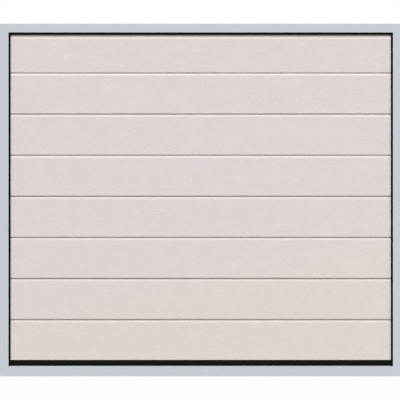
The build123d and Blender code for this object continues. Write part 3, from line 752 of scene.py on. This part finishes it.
# Bolts of the tracks and the cross rail
# Low-domed carriage bolts from inside the tracks, with hexagonal nuts on the brackets behind.
# They keep clear of the rollers' stems, which run along the tracks' middle.
NUT_SEAT = 1289
PLATE_SEAT = 1290
LOWER_TRACK = 2101
BOLT_OFFSET = 13
UPRIGHT_BOLTS = PIVOT_Y + BOLT_OFFSET
UPPER_BOLTS = UPPER_TRACK + BOLT_OFFSET
LOWER_BOLTS = LOWER_TRACK - BOLT_OFFSET
JAMB_BRACKETS = (300, 1000, 1700)
BOLT_STEP = 18
REAR_BOLTS = ((NUT_SEAT, 2315), (NUT_SEAT, 2345), (PLATE_SEAT, 2400), (PLATE_SEAT, 2470))


def track_bolt():
    """Nut with the bolt's end on the outer side and the dome inside the track, on the X axis."""
    nut = turned("nut", [(0, 8), (1, 8), (1, 6.8), (6, 6.8), (6.6, 6)], 6)
    shank = turned("shank", [(6, 3.9), (9, 3.9), (9.6, 3.2)], 12)
    dome = turned("dome", [(-7, 2.4), (-6.6, 4.6), (-5.9, 6.2), (-5, 6.9)], 16)
    return joined("bolt", [nut, shank, dome])


bolt_heights = [1822, 1852]
for bracket in JAMB_BRACKETS:
    bolt_heights += [bracket - BOLT_STEP, bracket + BOLT_STEP]
bolt_places = [(NUT_SEAT, UPRIGHT_BOLTS, height) for height in bolt_heights]
bolt_places += [(NUT_SEAT, y, UPPER_BOLTS) for y in (150, 270, 390)]
bolt_places += [(NUT_SEAT, y, LOWER_BOLTS) for y in (340, 400)]
for seat, y in REAR_BOLTS:
    bolt_places += [(seat, y, UPPER_BOLTS), (seat, y, LOWER_BOLTS)]
bolts = repeated("track_bolts", track_bolt(), both_sides(bolt_places))
finish_piece(bolts, bright_zinc, "frame")

rail_bolts = both_sides([(PLATE_SEAT, 2523, 2131), (PLATE_SEAT, 2523, 2149)])
rail_bolts += [(spot(x, 2546, height), "+y") for x in (-27, 27) for height in (2130, 2150)]
rail_heads = repeated("rail_bolts", hex_screw(), rail_bolts)
finish_piece(rail_heads, bright_zinc, "frame")


# Shaft bearings
# Each end of the spring shaft runs in a flanged ball bearing, riveted to its plate from outside.
# The races are pressed steel, and the shaft's end stands a little proud of the inner one.
BEARING_PROFILE = [
    (0, 31), (1.6, 31), (2.2, 30.2), (2.2, 22.6), (6.2, 22.2), (7, 21.4), (7, 19.4), (5.4, 19),
    (5.4, 15.8), (7, 15.4), (7, SHAFT_RADIUS), (0, SHAFT_RADIUS), (0, 31),
]
RIVET_PROFILE = [(2, 3), (2.9, 2.8), (3.6, 2), (4, 0.8)]
RIVET_CIRCLE = 26.6

bearing_parts = [turned("bearing", BEARING_PROFILE, 48)]
for turn in (45, 135, 225, 315):
    rivet = turned("rivet", RIVET_PROFILE, 12)
    rivet.data.transform(Matrix.Translation((0, 0, RIVET_CIRCLE * MILLIMETRE)))
    rivet.data.transform(Matrix.Rotation(math.radians(turn), 4, "X"))
    bearing_parts.append(rivet)
bearing_places = both_sides([(PLATE_SEAT, SHAFT_BACK, SHAFT_HEIGHT)])
bearings = repeated("shaft_bearings", joined("bearing", bearing_parts), bearing_places)
finish_piece(bearings, bright_zinc, "frame")


# Lifting cables
# Galvanised wire rope, 3 mm thick, from the bottom brackets over the pulleys to the drums.
# The upright runs shorten as the leaf rises; each ends in a loop round the bracket's pin.
CABLE_X = 1246
CABLE_Y = 46
PIN_HEIGHT = 60
STRANDS = 6
LAY_LENGTH = 20
ROPE_RADIUS = 1.5
WOUND_RADIUS = 50
LOOP_RADIUS = 5.8
LOOP_ROPE_RADIUS = 1.3
ROPE_DEEP = (0.16, 0.16, 0.165, 1)
ROPE_PALE = (0.60, 0.60, 0.60, 1)
ROPE_RELIEF = 0.0006
END_RADIUS = 0.0001
END_ANGLE = 80


def feed_rope(finish, lay):
    """Colour, roughness and relief of a rope from its lay, which is 1 on the strands' crowns. The
    crowns are painted pale as a highlight, and the hollows between strands painted dark as shade.
    """
    soil = finish.noise(60.0, 3.0)
    # Painted highlight on the strands' crowns and painted shade in the hollows between them, mixed
    # with random soil
    finish.shade(0.65 * lay + 0.35 * soil, ROPE_DEEP, ROPE_PALE)
    finish.dull(lay, 0.3, 0.3)
    finish.bump(lay, ROPE_RELIEF)


rope = Finish("wire_rope", Metallic=0.8)
diagonal = {"bands_direction": "DIAGONAL"}
lay_bands = {"Vector": rope.place(), "Scale": 190.0, "Distortion": 1.0}
feed_rope(rope, rope.node("ShaderNodeTexWave", diagonal, **lay_bands)[0])
level_cable = rounded("level_cables", END_RADIUS, 1, END_ANGLE)
finish_piece(level_cable, rope, "frame")

upright_rope = Finish("upright_wire_rope", Metallic=0.8)
across, depth_in, height = upright_rope.node("ShaderNodeSeparateXYZ", None, upright_rope.place())
beside = across.math("ABSOLUTE") - CABLE_X * MILLIMETRE
round_rope = beside.math("ARCTAN2", depth_in - CABLE_Y * MILLIMETRE)
turn_rate = 2 * math.pi / (LAY_LENGTH * MILLIMETRE)
# The strands' crowns come out painted pale as a highlight, and the hollows painted dark as shade
strand_wave = (STRANDS * (round_rope + height * turn_rate)).math("SINE")
feed_rope(upright_rope, 0.5 + 0.5 * strand_wave)
upright_cable = rounded("vertical_cables", END_RADIUS, 1, END_ANGLE)
finish_piece(upright_cable, upright_rope, "frame")
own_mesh(upright_cable)


def rope_ring(name, centre, radius, thickness):
    """One closed turn of rope round an axis along X."""
    deselect()
    bpy.ops.mesh.primitive_torus_add(
        major_radius=radius * MILLIMETRE, minor_radius=thickness * MILLIMETRE,
        major_segments=64, minor_segments=8, location=centre, rotation=(0, math.radians(90), 0),
    )
    ring = bpy.context.active_object
    ring.name = name
    bpy.ops.object.transform_apply(location=True, rotation=True, scale=True)
    bpy.ops.object.shade_smooth()
    return ring


drum_turns = []
for x in (CABLE_X, CABLE_X + GROOVE_PITCH):
    for side in (-1, 1):
        centre = spot(side * x, SHAFT_BACK, SHAFT_HEIGHT)
        drum_turns.append(rope_ring("turn", centre, WOUND_RADIUS, ROPE_RADIUS))
finish_piece(joined("drum_turns", drum_turns), rope, "frame")

loops = []
for side in (-1, 1):
    centre = spot(side * CABLE_X, CABLE_Y, PIN_HEIGHT)
    loops.append(rope_ring("loop", centre, LOOP_RADIUS, LOOP_ROPE_RADIUS))
finish_piece(joined("cable_loops", loops), rope, "lower_leaf")

ferrule = turned("ferrule", [(0, 2.1), (0.8, 3), (13, 3), (13.8, 2.1)], 16)
ferrule_places = [(spot(side * CABLE_X, CABLE_Y, PIN_HEIGHT + 5.5), "+z") for side in (-1, 1)]
ferrules = repeated("cable_ferrules", ferrule, ferrule_places)
finish_piece(ferrules, cast, "lower_leaf")


# Floor and light
# A plain pale floor and a white surround, lit by the sky and by two soft lamps, front and back.
# Floor and sky look white to the camera, and light the door less than they look.
FLOOR_SIZE = 60.0
FLOOR_WHITE = 0.97
FLOOR_DEEP = (0.40, 0.40, 0.40, 1)
FLOOR_PALE = (0.42, 0.42, 0.42, 1)
WHITE = (1, 1, 1, 1)
SKY_LIGHT = 0.35
LAMP_SPREAD = 20
CAMERA_RAY, GLOSSY_RAY, TRANSMISSION_RAY = 0, 3, 6

deselect()
bpy.ops.mesh.primitive_plane_add(size=FLOOR_SIZE, location=(0, 0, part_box("sill")[0].z))
floor = bpy.context.active_object
floor.name = "floor"
floor_finish = Finish("pale_floor", Roughness=0.9)
floor_finish.shade(floor_finish.noise(3.0), FLOOR_DEEP, FLOOR_PALE)
rays = floor_finish.node("ShaderNodeLightPath")
seen = rays[CAMERA_RAY].math("MAXIMUM", rays[GLOSSY_RAY])
glow = floor_finish.node("ShaderNodeEmission", None, Color=WHITE, Strength=1.0)[0]
lit = Value(floor_finish, floor_finish.shader.outputs[0])
shown = floor_finish.node("ShaderNodeMixShader", None, FLOOR_WHITE * seen, lit, glow)[0]
output = floor_finish.tree.nodes["Material Output"]
floor_finish.tree.links.new(shown.socket, output.inputs["Surface"])
floor.data.materials.append(floor_finish.material)

world = bpy.data.worlds.new("studio")
bpy.context.scene.world = world
world.use_nodes = True
sky = Nodes(world.node_tree, "Background")
sky.shader.inputs["Color"].default_value = WHITE
rays = sky.node("ShaderNodeLightPath")
seen = rays[CAMERA_RAY].math("MAXIMUM", rays[GLOSSY_RAY])
seen = seen.math("MAXIMUM", rays[TRANSMISSION_RAY])
sky.feed("Strength", sky.node("ShaderNodeMapRange", None, Value=seen, To_Min=SKY_LIGHT)[0])


def soft_lamp(name, energy, tilt, turn):
    """A broad lamp far away; tilt is from straight down, and turn goes round from the front."""
    lamp_data = bpy.data.lights.new(name, "SUN")
    lamp_data.energy = energy
    lamp_data.angle = math.radians(LAMP_SPREAD)
    lamp = bpy.data.objects.new(name, lamp_data)
    lamp.rotation_euler = (math.radians(tilt), 0, math.radians(turn))
    bpy.context.scene.collection.objects.link(lamp)


soft_lamp("front_lamp", energy=2.6, tilt=45, turn=0)
soft_lamp("back_lamp", energy=1.0, tilt=55, turn=160)

bpy.context.scene.view_settings.view_transform = "Standard"
